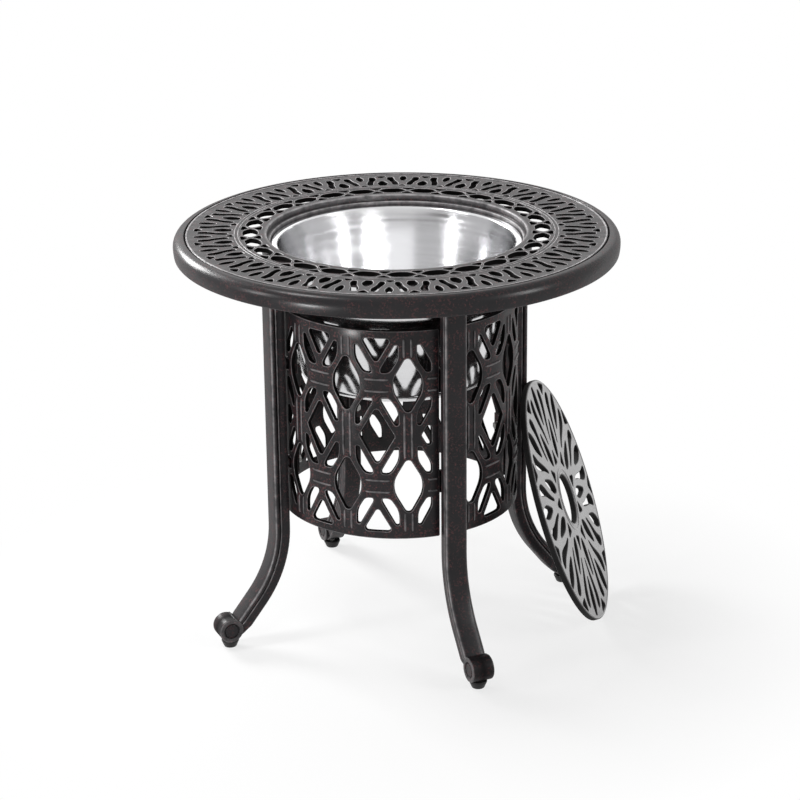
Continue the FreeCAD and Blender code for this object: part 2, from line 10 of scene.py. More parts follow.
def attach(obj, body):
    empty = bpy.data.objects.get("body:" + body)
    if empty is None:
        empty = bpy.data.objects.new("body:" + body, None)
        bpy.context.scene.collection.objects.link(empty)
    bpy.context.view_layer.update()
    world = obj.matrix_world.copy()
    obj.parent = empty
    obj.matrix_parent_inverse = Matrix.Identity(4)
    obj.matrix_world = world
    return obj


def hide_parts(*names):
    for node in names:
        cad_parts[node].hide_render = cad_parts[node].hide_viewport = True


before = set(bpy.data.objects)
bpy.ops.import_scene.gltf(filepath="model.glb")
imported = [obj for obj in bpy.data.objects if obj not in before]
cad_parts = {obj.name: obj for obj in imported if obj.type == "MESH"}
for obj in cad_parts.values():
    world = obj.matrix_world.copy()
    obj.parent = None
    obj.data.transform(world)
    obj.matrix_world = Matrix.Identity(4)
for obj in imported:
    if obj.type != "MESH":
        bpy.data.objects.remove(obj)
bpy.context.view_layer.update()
print("frame loaded", len(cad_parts), "nodes")

legAngles = {"front_left": 225.0, "front_right": 315.0, "rear_right": 45.0, "rear_left": 135.0}
panelAngles = {"front": 266.76, "right": 356.76, "back": 86.76, "left": 176.76}
# sizes are in millimetres until weldedPiece turns them to metres, and merging distances are in metres
millimetre = 0.001
weldGap = 2e-6
sliver = 1e-7
# longest stretch of an outline, and the share of a side that a corner's arc may take
longestSide = 4.0
reachShare = 0.48
# a corner stays sharp when its arc would reach less than this or its half angle, in radians, is past this
leastReach = 1e-4
straightHalf = 1.56


# shared shape helpers

def stacked(*columns):
    # columns side by side, one row for each point
    return np.stack(columns, -1)


def roundedOutline(corners, radius, steps=6):
    # closed outline: each corner is an arc whose ends lie the same reach along its two sides
    p = np.asarray(corners, float)
    q = np.roll(p, -1, 0)
    if np.sum(p[:, 0] * q[:, 1] - q[:, 0] * p[:, 1]) < 0:
        p = p[::-1]
    a = np.roll(p, 1, 0) - p
    b = np.roll(p, -1, 0) - p
    la = np.linalg.norm(a, axis=1)
    lb = np.linalg.norm(b, axis=1)
    a = a / la[:, None]
    b = b / lb[:, None]
    half = np.arccos(np.clip(np.sum(a * b, 1), -1, 1)) / 2
    reach = reachShare * np.minimum(la, lb)
    # shallow corners are rounded as far as their sides allow
    sharp = np.pi - 2 * half > np.pi / 3
    reach = np.where(sharp, np.minimum(radius / np.tan(half), reach), reach)
    arcRadius = reach * np.tan(half)
    way = (a + b) / np.linalg.norm(a + b, axis=1)[:, None]
    centre = p + way * (arcRadius / np.sin(half))[:, None]
    s = p + a * reach[:, None] - centre
    e = p + b * reach[:, None] - centre
    start = np.arctan2(s[:, 1], s[:, 0])
    sweep = (np.arctan2(e[:, 1], e[:, 0]) - start + np.pi) % (2 * np.pi) - np.pi
    t = np.linspace(0, 1, steps)
    turn = start[:, None] + sweep[:, None] * t
    arc = stacked(np.cos(turn), np.sin(turn)) * arcRadius[:, None, None]
    return (centre[:, None] + arc).reshape(-1, 2)


def refined(loop):
    # the same closed outline with no stretch longer than longestSide
    nxt = np.roll(loop, -1, 0)
    count = np.maximum(1, np.ceil(np.linalg.norm(nxt - loop, axis=1) / longestSide).astype(int))
    owner = np.repeat(np.arange(len(loop)), count)
    first = np.repeat(np.cumsum(count) - count, count)
    share = (np.arange(count.sum()) - first) / count[owner]
    return loop[owner] + (nxt - loop)[owner] * share[:, None]


def roundedPath(points, radius, steps=5):
    # open path in (radius, height): inner corners are rounded as in roundedOutline, the ends stay
    p = np.asarray(points, float)
    r = np.broadcast_to(np.asarray(radius, float), (len(p),))
    rows = [p[:1]]
    for i in range(1, len(p) - 1):
        a, b = p[i - 1] - p[i], p[i + 1] - p[i]
        la, lb = np.linalg.norm(a), np.linalg.norm(b)
        a, b = a / la, b / lb
        half = math.acos(np.clip(a @ b, -1, 1)) / 2
        reach = min(r[i] / math.tan(half), reachShare * la, reachShare * lb)
        if reach < leastReach or half > straightHalf:
            rows.append(p[i:i + 1])
            continue
        arcRadius = reach * math.tan(half)
        centre = p[i] + (a + b) / np.linalg.norm(a + b) * arcRadius / math.sin(half)
        s, e = p[i] + a * reach - centre, p[i] + b * reach - centre
        start = math.atan2(s[1], s[0])
        sweep = (math.atan2(e[1], e[0]) - start + math.pi) % (2 * math.pi) - math.pi
        turn = start + sweep * np.linspace(0, 1, steps)
        rows.append(centre + arcRadius * stacked(np.cos(turn), np.sin(turn)))
    rows.append(p[-1:])
    return np.concatenate(rows)


def outwards(loop):
    # normal of a counter-clockwise outline, away from the space that it encloses
    along = np.roll(loop, -1, 0) - np.roll(loop, 1, 0)
    along /= np.linalg.norm(along, axis=1)[:, None]
    return stacked(along[:, 1], -along[:, 0])


def circle(radius, segments):
    # points at even turns round the origin
    turn = np.linspace(0, 2 * np.pi, segments, endpoint=False)
    return radius * stacked(np.cos(turn), np.sin(turn))


def gridFaces(rows, columns, flip=False):
    # quads of a rows by columns grid whose columns close on themselves, turned over when flip is set
    i = np.arange(rows - 1)[:, None] * columns
    j = np.arange(columns)[None, :]
    k = (j + 1) % columns
    quads = stacked(i + j, i + k, i + columns + k, i + columns + j).reshape(-1, 4)
    return quads[:, ::-1] if flip else quads


def shell(points, faces, wear=0.0, smooth=True):
    # one sheet of faces with a value of wear and painted light at each point: above 0 bright, partly wear
    # and partly painted highlight; below 0 painted shade
    points = np.asarray(points, float).reshape(-1, 3)
    wear = np.broadcast_to(wear, (len(points),))
    return {"points": points, "faces": np.asarray(faces), "wear": wear, "smooth": smooth}


def joined(shells):
    # one flat list out of single shells and lists of shells
    return [s for group in shells for s in (group if isinstance(group, list) else [group])]


def moved(shells, place):
    # the same shells with every point sent through place(points)
    return [dict(s, points=place(s["points"])) for s in joined(shells)]


def aboutZ(degrees):
    # a turn of points about Z
    c, s = math.cos(math.radians(degrees)), math.sin(math.radians(degrees))
    turn = np.array([[c, -s, 0], [s, c, 0], [0, 0, 1]])
    return lambda points: points @ turn.T


def lathe(profile, segments, wear=0.0, closed=False, flip=False):
    # profile of (radius, height) carried round Z; points at radius 0 fall together and are merged later
    profile = np.asarray(profile, float)
    wear = np.broadcast_to(wear, (len(profile),))
    if closed:
        profile, wear = np.concatenate([profile, profile[:1]]), np.append(wear, wear[:1])
    turn = np.linspace(0, 2 * np.pi, segments, endpoint=False)
    r, z = profile[:, :1], np.repeat(profile[:, 1:], segments, 1)
    points = stacked(r * np.cos(turn), r * np.sin(turn), z)
    return shell(points, gridFaces(len(profile), segments, flip=flip), np.repeat(wear, segments))


def lofted(rings, wear, flip=False):
    # rings of points joined one to the next, each end closed by a fan to its middle
    rings = np.asarray(rings, float)
    rows, n = rings.shape[:2]
    points = np.concatenate([rings.reshape(-1, 3), rings[:1].mean(1), rings[-1:].mean(1)])
    j = np.arange(n)
    k = (j + 1) % n
    low = stacked(np.full(n, rows * n), k, j)
    high = stacked(np.full(n, rows * n + 1), (rows - 1) * n + j, (rows - 1) * n + k)
    quads = gridFaces(rows, n)
    if flip:
        quads, low, high = quads[:, ::-1], low[:, ::-1], high[:, ::-1]
    wear = np.concatenate([wear.reshape(-1), [0, 0]])
    side = shell(points, quads, wear)
    return [side, shell(points, np.concatenate([low, high]), wear)]


def block(size, bevel):
    # box with rounded edges: rings of a rounded rectangle along X, drawn in by the bevel at both ends
    hx, hy, hz = np.asarray(size) / 2
    outline = roundedOutline([(-hy, -hz), (hy, -hz), (hy, hz), (-hy, hz)], bevel, 4)
    normal = outwards(outline)
    t = np.linspace(0, np.pi / 2, 4)
    draw = np.concatenate([bevel * (1 - np.sin(t)), bevel * (1 - np.sin(t[::-1]))])
    x = np.concatenate([-hx + bevel * (1 - np.cos(t)), hx - bevel * (1 - np.cos(t[::-1]))])
    yz = outline[None] - normal[None] * draw[:, None, None]
    rings = np.concatenate([np.broadcast_to(x[:, None, None], yz.shape[:2] + (1,)), yz], -1)
    # the bevels are painted bright, partly wear and partly painted highlight
    edge = np.clip(draw / bevel, 0, 1)
    return lofted(rings, np.repeat(4 * edge * (1 - edge), len(outline)))


def newObject(name, data):
    # an object of the scene that shows the data
    made = bpy.data.objects.new(name, data)
    bpy.context.scene.collection.objects.link(made)
    return made


def weldedPiece(name, shells, material):
    # one object from several shells, coincident points merged, wear and painted light kept as a point
    # attribute
    shells = joined(shells)
    starts = np.cumsum([0] + [len(s["points"]) for s in shells])
    points = np.concatenate([s["points"] for s in shells]) * millimetre
    faces = [f for s, o in zip(shells, starts) for f in (s["faces"] + o).tolist()]
    smooth = np.concatenate([np.full(len(s["faces"]), s["smooth"]) for s in shells])
    mesh = bpy.data.meshes.new(name)
    mesh.from_pydata(points.tolist(), [], faces)
    mesh.polygons.foreach_set("use_smooth", smooth)
    wear = mesh.attributes.new("wear", "FLOAT", "POINT")
    wear.data.foreach_set("value", np.concatenate([s["wear"] for s in shells]).astype(np.float32))
    work = bmesh.new()
    work.from_mesh(mesh)
    bmesh.ops.remove_doubles(work, verts=work.verts, dist=weldGap)
    bmesh.ops.dissolve_degenerate(work, edges=work.edges, dist=sliver)
    loose = [v for v in work.verts if not v.link_faces]
    bmesh.ops.delete(work, geom=loose, context="VERTS")
    work.to_mesh(mesh)
    work.free()
    piece = newObject(name, mesh)
    mesh.materials.append(material)
    return piece


def putMesh(name, shells, material, body, slot, *nodes):
    # a piece of the object: it rides a body and takes the place of CAD nodes; slot is not used
    piece = weldedPiece(name, shells, material)
    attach(piece, body)
    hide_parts(*nodes)


# pierced plates: a rounded collar at every opening, triangles on the flat between the collars

# wear and painted light round an opening: the turns of the face edge where the value changes, the most it
# may be past its bright line (painted shade), and the painted shade round the rear edge
plateWearAndPaintedLight = {"turns": (0, 0.4, 0.8, 1.2), "shade": -0.3, "rear": (-1.0, -0.7, 0.0)}


def plateProfile(thickness, edge, back, shine):
    # (offset into the metal, depth, wear and painted light) down one opening: quarter circle, wall, quarter
    # circle; the face edge takes a line at shine, which is wear and painted highlight when above 0 and
    # painted shade when below 0; the wall and the rear edge take painted shade
    t = np.linspace(0, np.pi / 2, 5)
    u = np.linspace(0, np.pi / 2, 3)
    faceWearAndPaintedLight = np.interp(t, plateWearAndPaintedLight["turns"], [0, shine, min(shine, plateWearAndPaintedLight["shade"]), -1.0])
    top = stacked(edge * (1 - np.sin(t)), edge * (1 - np.cos(t)), faceWearAndPaintedLight)
    low = stacked(back * (1 - np.cos(u)), thickness - back * (1 - np.sin(u)), plateWearAndPaintedLight["rear"])
    return np.concatenate([top, low])


def collar(loop, profile, inward=False):
    # profile carried along a closed outline; points are (x, y, depth)
    normal = outwards(loop) * (-1 if inward else 1)
    flat = loop[None] + normal[None] * profile[:, 0, None, None]
    depth = np.broadcast_to(profile[:, 1, None, None], flat.shape[:2] + (1,))
    points = np.concatenate([flat, depth], -1)
    faces = gridFaces(len(profile), len(loop), flip=inward)
    return shell(points, faces, np.repeat(profile[:, 2], len(loop)))


def within(points, loop):
    # crossing count of a ray to +X through the loop's sides, odd inside; level sides are never crossed
    a, b = loop, np.roll(loop, -1, 0)
    x, y = points[:, :1], points[:, 1:2]
    spans = (a[:, 1] > y) != (b[:, 1] > y)
    rise = np.where(b[:, 1] == a[:, 1], 1.0, b[:, 1] - a[:, 1])
    cut = a[:, 0] + (y - a[:, 1]) * (b[:, 0] - a[:, 0]) / rise
    return np.sum(spans & (x < cut), 1) % 2 == 1


def filled(loops, depth, extra=None, under=False):
    # triangles between the first loop and the loops inside it; extra points lie in the metal
    lengths = [len(l) for l in loops]
    starts = np.cumsum([0] + lengths)
    owner = np.repeat(np.arange(len(loops)), lengths)
    flat = np.concatenate(loops)
    if extra is not None:
        keep = ~np.any([within(extra, l) for l in loops[1:]], 0)
        flat = np.concatenate([flat, extra[keep]])
        owner = np.concatenate([owner, np.full(keep.sum(), -1)])
    edges = [(s + i, s + (i + 1) % n) for n, s in zip(lengths, starts) for i in range(n)]
    insideOnly, nearest = 1, 1e-7
    found = delaunay_2d_cdt([Vector(p) for p in flat], edges, [], insideOnly, nearest)
    points = np.array([tuple(p) for p in found[0]])
    faces = np.array(found[2])
    side = np.array([owner[o[0]] if o else -1 for o in found[3]])[faces]
    middle = points[faces].mean(1)
    gone = np.zeros(len(faces), bool)
    for k in range(1, len(loops)):
        pick = np.flatnonzero(np.all(side == k, 1))
        gone[pick] = within(middle[pick], loops[k])
    faces = faces[~gone]
    a, b, c = (points[faces[:, i]] for i in range(3))
    turn = (b - a)[:, 0] * (c - a)[:, 1] - (b - a)[:, 1] * (c - a)[:, 0]
    faces = np.where((turn < 0)[:, None] != under, faces[:, ::-1], faces)
    points = np.concatenate([points, np.full((len(points), 1), depth)], -1)
    return shell(points, faces, smooth=False)


def piercedPlate(outer, holes, thickness, edge, back, shine=1.0):
    # collars of all openings, and their outlines on the face and on the rear
    # outer is a loop, or None when the ring outside is built by another shell
    profile = plateProfile(thickness, edge, back, shine)
    shells = [collar(h, profile) for h in holes]
    face = [h + outwards(h) * edge for h in holes]
    rear = [h + outwards(h) * back for h in holes]
    if outer is not None:
        shells.append(collar(outer, profile, inward=True))
        face.insert(0, outer - outwards(outer) * edge)
        rear.insert(0, outer - outwards(outer) * back)
    return shells, face, rear


def bandOpenings(motif, count, phase, inner, outer, radius):
    # motif corners given as shares of the repeat and of the band, turned into plan outlines
    pitch = 360.0 / count
    loops = []
    for i in range(count):
        for opening in motif:
            u, v = np.array(opening).T
            turn = np.radians(phase + (i + u) * pitch)
            r = inner + v * (outer - inner)
            outline = roundedOutline(stacked(r * np.cos(turn), r * np.sin(turn)), radius, 4)
            loops.append(refined(outline))
    return loops


def flippedMotif(opening):
    # the same corners on the other side of the repeat's middle
    return [(-u, v) for u, v in opening]


def raisedRing(radius, half, rise, base, segments, wear):
    # half ellipse carried round Z, closed underneath
    t = np.linspace(0, np.pi, 7)
    profile = stacked(radius - half * np.cos(t), base + rise * np.sin(t))
    # the crest is painted bright, partly wear and partly painted highlight
    return lathe(profile, segments, wear * np.sin(t), closed=True, flip=True)


# materials: dark cast bronze with rust speckle, edges painted pale (partly wear, partly painted highlight)
# and painted shade in the openings' walls and grooves, polished steel, black plastic, zinc

def newMaterial(name):
    # a material with its node tree and shader
    material = bpy.data.materials.new(name)
    material.use_nodes = True
    return material, material.node_tree, material.node_tree.nodes["Principled BSDF"]


def feed(tree, node, values):
    # a number or colour becomes the named socket's own value, an output is linked to it
    for title, value in values.items():
        if isinstance(value, (int, float, tuple)):
            node.inputs[title].default_value = value
        else:
            tree.links.new(value, node.inputs[title])


def mathNode(tree, operation, a, b, clamp=False):
    # operation on a and b, held between 0 and 1 when clamp is set
    node = tree.nodes.new("ShaderNodeMath")
    node.operation = operation
    node.use_clamp = clamp
    feed(tree, node, {0: a, 1: b})
    return node.outputs[0]


def colourMix(tree, factor, low, high):
    # low where the factor is 0, high where it is 1
    node = tree.nodes.new("ShaderNodeMix")
    node.data_type = "RGBA"
    feed(tree, node, {"Factor": factor, 6: low, 7: high})
    return node.outputs[2]


def rangeNode(tree, value, low, high, outLow=0.0, outHigh=1.0):
    # value carried from low and high to outLow and outHigh, held between them
    node = tree.nodes.new("ShaderNodeMapRange")
    feed(tree, node, {"Value": value, "From Min": low, "From Max": high, "To Min": outLow,
                      "To Max": outHigh})
    return node.outputs["Result"]


def objectPlace(tree, **change):
    # place on the object, shifted or stretched by the change
    coord = tree.nodes.new("ShaderNodeTexCoord")
    place = tree.nodes.new("ShaderNodeMapping")
    feed(tree, place, {"Vector": coord.outputs["Object"], **change})
    return place.outputs["Vector"]


def noiseNode(tree, vector, scale, detail=2.0, roughness=0.5):
    # cloudy noise between 0 and 1
    node = tree.nodes.new("ShaderNodeTexNoise")
    feed(tree, node, {"Vector": vector, "Scale": scale, "Detail": detail, "Roughness": roughness})
    return node.outputs["Fac"]


def reliefNode(tree, height, strength, depth):
    # normal bent by the slope of height
    node = tree.nodes.new("ShaderNodeBump")
    feed(tree, node, {"Height": height, "Strength": strength, "Distance": depth})
    return node.outputs["Normal"]


# noises as (scale, detail, roughness), cuts and shares as (low, high) or (low, high, to low, to high)
speckleSet = {
    "offset": (0.37, 0.11, -0.25), "fine": (380.0, 3.0, 0.65), "coarse": (80.0, 4.0, 0.6),
    "slow": (14.0, 3.0, 0.55), "grit": (900.0, 2.0, 0.6),
    "fineCut": (0.52, 0.60), "coarseCut": (0.42, 0.58), "gritCut": (0.35, 0.75), "pitCut": (0.3, 0.7),
    "mottle": (0.024, 0.0215, 0.0235, 1), "mottleShare": (0.35, 0.7, 0.0, 0.5),
    "edgeShare": (0.30, 0.62, 0.25, 1.0), "rough": (0.3, 0.7, 0.24, 0.36), "speckRough": 0.25,
    # recess: near-black painted shade on the walls of the openings and in grooves, with its roughness and
    # coat
    "recess": (0.0025, 0.0022, 0.0022, 1), "recessRough": 0.6, "recessCoat": (0.0, 0.6, 1.0, 0.0),
}


def speckleGroup():
    # mottled ground tone; rust specks, edges painted pale (partly wear, partly painted highlight) and
    # painted shade in recesses are mixed over it by their masks
    s = speckleSet
    inputs = {"Ground": "Color", "Rust": "Color", "Wornandhighlight": "Color", "Amount": "Float", "Wear": "Float",
              "Edge": "Float", "Gloss": "Float"}
    outputs = {"Colour": "Color", "Rough": "Float", "Coat": "Float", "Height": "Float"}
    tree = bpy.data.node_groups.new("castSpeckle", "ShaderNodeTree")
    for side, sockets in (("INPUT", inputs), ("OUTPUT", outputs)):
        for title, kind in sockets.items():
            tree.interface.new_socket(title, in_out=side, socket_type="NodeSocket" + kind)
    given = tree.nodes.new("NodeGroupInput").outputs
    vector = objectPlace(tree, Location=s["offset"])

    def maths(operation, a, b):
        return mathNode(tree, operation, a, b, clamp=True)

    fine = noiseNode(tree, vector, *s["fine"])
    coarse = noiseNode(tree, vector, *s["coarse"])
    slow = noiseNode(tree, vector, *s["slow"])
    grit = rangeNode(tree, noiseNode(tree, vector, *s["grit"]), *s["gritCut"])
    pits = rangeNode(tree, coarse, *s["pitCut"])
    patches = rangeNode(tree, coarse, *s["coarseCut"])
    speck = maths("MULTIPLY", rangeNode(tree, fine, *s["fineCut"]), patches)
    speck = maths("MULTIPLY", speck, given["Amount"])
    tone = colourMix(tree, rangeNode(tree, slow, *s["mottleShare"]), given["Ground"], s["mottle"])
    tone = colourMix(tree, speck, tone, given["Rust"])
    # edges are painted pale: partly wear, partly painted highlight
    edge = maths("MULTIPLY", given["Edge"], rangeNode(tree, coarse, *s["edgeShare"]))
    edge = maths("MULTIPLY", edge, given["Wear"])
    tone = colourMix(tree, edge, tone, given["Wornandhighlight"])
    # walls of the openings and grooves carry negative values: painted shade
    recess = maths("MULTIPLY", given["Edge"], -1.0)
    tone = colourMix(tree, recess, tone, s["recess"])
    rough = maths("ADD", rangeNode(tree, slow, *s["rough"]), maths("MULTIPLY", speck, s["speckRough"]))
    rough = maths("ADD", rough, maths("MULTIPLY", recess, s["recessRough"]))
    coat = maths("MULTIPLY", given["Gloss"], rangeNode(tree, recess, *s["recessCoat"]))
    height = maths("MULTIPLY", maths("ADD", grit, pits), 0.5)
    end = tree.nodes.new("NodeGroupOutput")
    feed(tree, end, {"Colour": tone, "Rough": rough, "Coat": coat, "Height": height})
    return tree


castSpeckle = speckleGroup()

# the pale edge colour and its amount paint edges bright: partly wear, partly painted highlight
castLook = {
    "ground": (0.0095, 0.0086, 0.0098, 1), "rust": (0.10, 0.036, 0.037, 1), "wornAndHighlight": (0.62, 0.60, 0.61, 1),
    "amount": 0.55, "wear": 0.42, "bump": 0.4, "bumpDepth": 0.0004, "specular": 0.06,
    "gloss": 0.3, "coatRough": 0.25, "slant": 0.5, "graze": (0.55, 0.85, 0.0, 0.6),
}


def castMaterial(name, **changes):
    # speckle group with the look as changed; the coat goes dull where it is seen aslant
    s = dict(castLook, **changes)
    material, tree, shader = newMaterial(name)
    group = tree.nodes.new("ShaderNodeGroup")
    group.node_tree = castSpeckle
    wear = tree.nodes.new("ShaderNodeAttribute")
    wear.attribute_name = "wear"
    given = ("ground", "rust", "wornAndHighlight", "amount", "wear", "gloss")
    feed(tree, group, {key.title(): s[key] for key in given})
    feed(tree, group, {"Edge": wear.outputs["Fac"]})
    slant = tree.nodes.new("ShaderNodeLayerWeight")
    slant.inputs["Blend"].default_value = s["slant"]
    dull = rangeNode(tree, slant.outputs["Facing"], *s["graze"])
    rough = mathNode(tree, "ADD", dull, group.outputs["Rough"], clamp=True)
    relief = reliefNode(tree, group.outputs["Height"], s["bump"], s["bumpDepth"])
    feed(tree, shader, {"Base Color": group.outputs["Colour"], "Roughness": rough, "Normal": relief,
                        "Coat Weight": group.outputs["Coat"], "Coat Roughness": s["coatRough"],
                        "Specular IOR Level": s["specular"]})
    return material


# the materials differ in rust, gloss and in how strongly edges are painted bright as wear and painted
# highlight
castBronze = castMaterial("castBronze")
skirtBronze = castMaterial("skirtBronze", amount=0.85, wear=0.32)
topBronze = castMaterial("topBronze", wear=1.0, gloss=0.36)
lidBronze = castMaterial("lidBronze", amount=0.35, specular=0.3, gloss=1.0, graze=(0.85, 1.0, 0.0, 0.2))

# both metals: noise (scale, detail), its span, shares of roughness and tone at its ends
steelSet = {"noise": (6.0, 4.0), "span": (0.3, 0.7), "roughShares": (0.7, 1.4), "darkShare": 0.88,
            "bumpDepth": 0.0002}


def steelMaterial(name, tone, roughness, streak, bump):
    # bright metal: one noise, stretched by streak, sets roughness, tone and a slight relief
    s = steelSet
    material, tree, shader = newMaterial(name)
    noise = noiseNode(tree, objectPlace(tree, Scale=streak), *s["noise"])
    rough = rangeNode(tree, noise, *s["span"], *(roughness * share for share in s["roughShares"]))
    dark = tuple(c * s["darkShare"] for c in tone)
    shade = colourMix(tree, noise, dark + (1,), tone + (1,))
    relief = reliefNode(tree, noise, bump, s["bumpDepth"])
    feed(tree, shader, {"Base Color": shade, "Roughness": rough, "Normal": relief, "Metallic": 1.0})
    return material


stainless = steelMaterial("stainless", (0.72, 0.72, 0.73), 0.14, (1, 1, 40), 0.03)
zincSteel = steelMaterial("zincSteel", (0.52, 0.52, 0.5), 0.32, (60, 60, 60), 0.1)

glideSet = {"noise": 700.0, "dark": (0.008, 0.008, 0.008, 1), "pale": (0.022, 0.021, 0.021, 1), "bump": 0.2,
            "bumpDepth": 0.0003, "rough": 0.42, "specular": 0.2}


def plasticMaterial():
    # satin black: a fine noise sets tone and relief
    s = glideSet
    material, tree, shader = newMaterial("blackGlide")
    noise = noiseNode(tree, objectPlace(tree), s["noise"])
    tone = colourMix(tree, noise, s["dark"], s["pale"])
    relief = reliefNode(tree, noise, s["bump"], s["bumpDepth"])
    feed(tree, shader, {"Base Color": tone, "Normal": relief, "Roughness": s["rough"],
                        "Specular IOR Level": s["specular"]})
    return material


blackGlide = plasticMaterial()
print("materials made")


# table top: pierced deck between the well's stepped ring and the rolled rim
# bands: two radii, repeats, phase; lines and bead: radius, half width, rise; well steps: radius, depth
# crown and tuck: radius and sweep in radians; roll: width, height; lip: radius, height, half width, drop
topSet = {
    "deck": 501.2, "thick": 6.0, "edge": 1.5, "back": 0.8, "corner": 1.6, "segments": 288,
    "ringIn": 158.5, "ringOut": 248.6, "ringUnder": 161.2,
    "outerBand": (194.2, 243.2, 26, 12.4), "innerBand": (161.2, 187.8, 28, 3.9),
    "lines": ((188.9, 0.8, 0.7), (193.1, 0.8, 0.7)), "lineSink": 0.2, "lineWearAndHighlight": 0.8,
    "bead": (250.0, 1.2, 0.75), "groove": (252.2, 0.9), "crownAt": 254.1, "crown": (1.025, 1.349),
    "rollAt": 489.6, "roll": (12.3, 12.4), "tuck": (55.04, 0.1707), "lip": (263.4, 480.25, 2.2, 2.25),
    "hollow": 261.2, "hollowCorner": 4.5, "plainFrom": 253.2, "plainUnder": 1.0,
    # rim values by radius: the bead painted bright as wear and painted highlight, the groove painted shade
    "rimWearAndPaintedLight": ((248.6, 249.4, 250.4, 251.0, 251.4, 252.2, 253.0), (0.1, 0.9, 0.9, 0.2, -0.6, -0.9, -0.3)),
    "wellSteps": ((143.5, 22.0), (150.5, 13.5), (154.8, 7.5)),
    "stepCorners": (0, 1.0, 1.0, 1.2, 0.8, 1.2, 0.8, 3.4, 0),
    # step edges of the well painted bright, partly wear and partly painted highlight, fading with distance
    "brightAt": ((155.6, -0.9), (150.6, -7.6), (143.6, -13.6)),
    "brightWearAndHighlight": ((0.3, 1.2, 2.5), (0.95, 0.3, 0.0)),
}
curvedSlot = [(0.235, 0.866), (0.222, 0.732), (0.203, 0.567), (0.157, 0.443), (0.122, 0.32), (0.118, 0.196),
              (0.14, 0.144), (0.22, 0.144), (0.255, 0.258), (0.265, 0.381), (0.302, 0.505), (0.35, 0.608),
              (0.365, 0.732), (0.345, 0.866)]
outerMotif = [
    [(-0.125, 0.031), (0.125, 0.031), (0, 0.175)],
    [(0.375, 0.969), (0.625, 0.969), (0.5, 0.784)],
    [(0, 0.495), (0.05, 0.608), (0.078, 0.773), (0.035, 0.948), (-0.035, 0.948), (-0.078, 0.773),
     (-0.05, 0.608)],
    [(0.5, 0.536), (0.585, 0.402), (0.625, 0.268), (0.57, 0.072), (0.43, 0.072), (0.375, 0.268),
     (0.415, 0.402)],
    curvedSlot,
    flippedMotif(curvedSlot),
]
innerMotif = [
    [(0.075, 0.50), (0.26, 0.17), (0.74, 0.17), (0.925, 0.50), (0.74, 0.83), (0.26, 0.83)],
    [(-0.235, 0.95), (0.235, 0.95), (0.0, 0.64)],
    [(-0.235, 0.05), (0.235, 0.05), (0.0, 0.36)],
]


def rimProfile():
    # from the deck outwards: bead, groove, crown arc, quarter ellipse, side arc, lip, then back below
    s = topSet
    deck, low = s["deck"], s["deck"] - s["thick"]
    t = np.linspace(0, np.pi, 9)
    at, half, rise = s["bead"]
    bead = stacked(at - half * np.cos(t), deck + rise * np.sin(t))
    at, half = s["groove"]
    groove = stacked(at - half * np.cos(t), deck - half * np.sin(t))
    at, side = s["crownAt"], s["rollAt"]
    wide, tall = s["roll"]
    radius, sweep = s["crown"]
    q = np.linspace(-sweep, 0, 7)
    crown = stacked(at + radius * np.sin(q), side + tall - radius * (1 - np.cos(q)))
    q = np.linspace(0, np.pi / 2, 10)
    roll = stacked(at + wide * np.sin(q), side + tall * np.cos(q))
    radius, sweep = s["tuck"]
    q = np.linspace(0, sweep, 4)
    tuck = stacked(at + wide - radius * (1 - np.cos(q)), side - radius * np.sin(q))
    at, height, half, drop = s["lip"]
    q = np.linspace(0, np.pi, 8)
    lip = stacked(at + half * np.cos(q), height - drop * np.sin(q))
    under = roundedPath([lip[-1], (s["hollow"], low), (s["ringOut"], low)], (0, s["hollowCorner"], 0), 6)
    start = [(s["ringOut"], deck)]
    return np.concatenate([start, bead, groove[:-1], crown[1:], roll[1:], tuck[1:], lip[1:], under[1:]])


def wellProfile():
    # from the deck's underside: outer wall, bore, bucket seat, lid ledge, each a step with rounded corners
    s = topSet
    (bore, foot), (seat, seatFloor), (ledge, ledgeFloor) = s["wellSteps"]
    steps = [(s["ringUnder"], s["thick"]), (s["ringUnder"], foot), (bore, foot), (bore, seatFloor),
             (seat, seatFloor), (seat, ledgeFloor), (ledge, ledgeFloor), (ledge, 0), (s["ringIn"], 0)]
    return roundedPath([(radius, s["deck"] - depth) for radius, depth in steps], s["stepCorners"])


def makeTableTop():
    # pierced plate, lathed rim and well, two raised lines; wear and painted light go by radius and by the
    # nearest step edge
    s = topSet
    deck, n = s["deck"], s["segments"]
    holes = []
    for motif, band in ((outerMotif, "outerBand"), (innerMotif, "innerBand")):
        inner, outer, count, phase = s[band]
        holes += bandOpenings(motif, count, phase, inner, outer, s["corner"])
    shells, face, rear = piercedPlate(None, holes, s["thick"], s["edge"], s["back"])
    ring = circle(s["ringOut"], n)
    shells.append(filled([ring, circle(s["ringIn"], n)] + face, 0.0))
    shells.append(filled([ring, circle(s["ringUnder"], n)] + rear, s["thick"], under=True))
    shells = moved(shells, lambda p: stacked(p[:, 0], p[:, 1], deck - p[:, 2]))
    rim = rimProfile()
    plain = (rim[:, 0] > s["plainFrom"]) | (rim[:, 1] < deck - s["thick"] + s["plainUnder"])
    shells.append(lathe(rim, n, np.where(plain, 0.0, np.interp(rim[:, 0], *s["rimWearAndPaintedLight"])), flip=True))
    well = wellProfile()
    near = np.min([np.hypot(well[:, 0] - x, well[:, 1] - deck - z) for x, z in s["brightAt"]], 0)
    shells.append(lathe(well, n, np.interp(near, *s["brightWearAndHighlight"]), flip=True))
    for radius, half, rise in s["lines"]:
        shells.append(raisedRing(radius, half, rise, deck - s["lineSink"], n, s["lineWearAndHighlight"]))
    putMesh("tableTop", shells, topBronze, "table", "cast_bronze", "table_top")


makeTableTop()
print("table top made")


